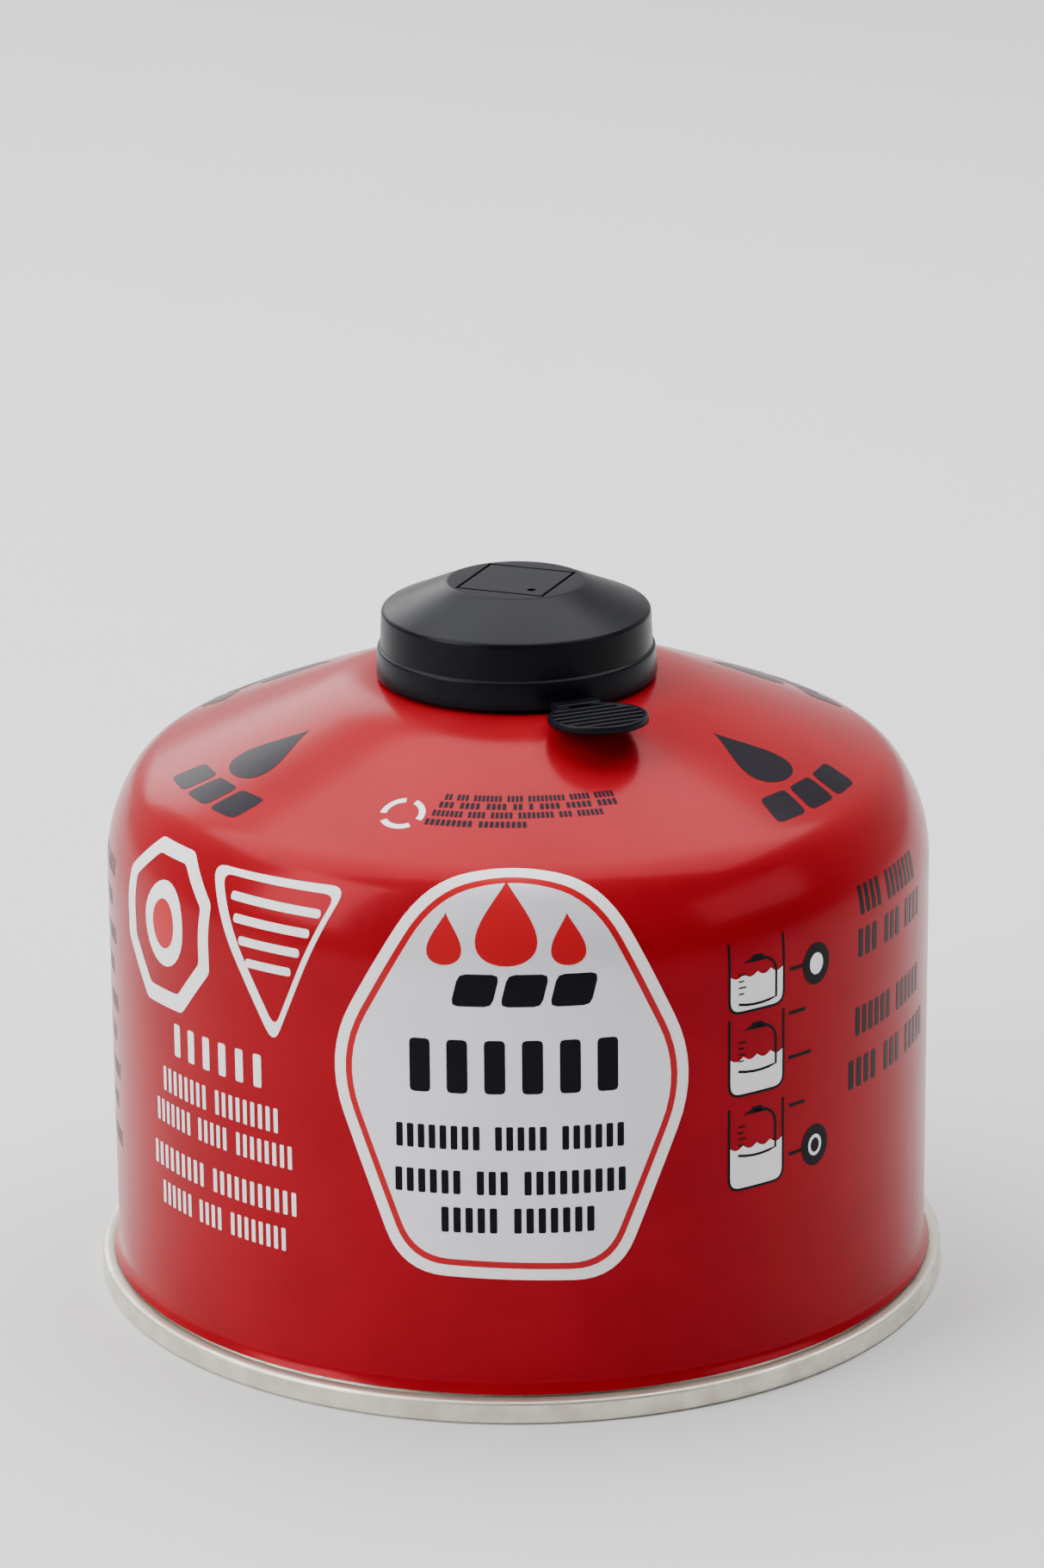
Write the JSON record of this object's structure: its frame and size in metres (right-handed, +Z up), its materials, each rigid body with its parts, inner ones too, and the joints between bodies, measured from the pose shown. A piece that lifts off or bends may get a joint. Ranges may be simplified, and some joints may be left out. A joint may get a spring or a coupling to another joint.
{
  "type": "fuel canister",
  "caption": "Squat domed steel fuel canister with a seamed concave base, a crimped valve cup with a threaded boss, a sprung valve stem and a push-on plastic cap with a round lift tab.",
  "frame": {"origin": "on the can's axis, at the underside of the seam that it stands on", "axes": "+Z up along the can's axis, -Y towards the front of the printed label, +X to the right as the label is read"},
  "size_m": [0.11, 0.11, 0.0917],
  "materials": {
    "lithographed_steel": "gloss red print and varnish over tinplate",
    "tinplate": "bare tinplate, lightly scuffed",
    "seal_rubber": "matt",
    "valve_plastic": "satin natural acetal",
    "spring_steel": "drawn stainless wire",
    "cap_plastic": "satin charcoal polyethylene"
  },
  "bodies": {
    "canister": {"can_body": "lithographed_steel", "bottom_end": "tinplate", "mounting_cup": "tinplate", "neck_gasket": "seal_rubber", "stem_gasket": "seal_rubber", "valve_housing": "valve_plastic", "valve_spring": "spring_steel"},
    "stem": {"valve_stem": "valve_plastic"},
    "cap": {"cap": "cap_plastic"}
  },
  "joints": [
    {"name": "cap_lift", "type": "slide", "parent": "canister", "child": "cap", "axis": [0, 0, 1], "range_m": [0, 0.03]},
    {"name": "stem_press", "type": "slide", "parent": "canister", "child": "stem", "axis": [0, 0, -1], "range_m": [0, 0.0015], "stiffness_N_per_m": 1500, "deforming": ["valve_spring"]}
  ]
}
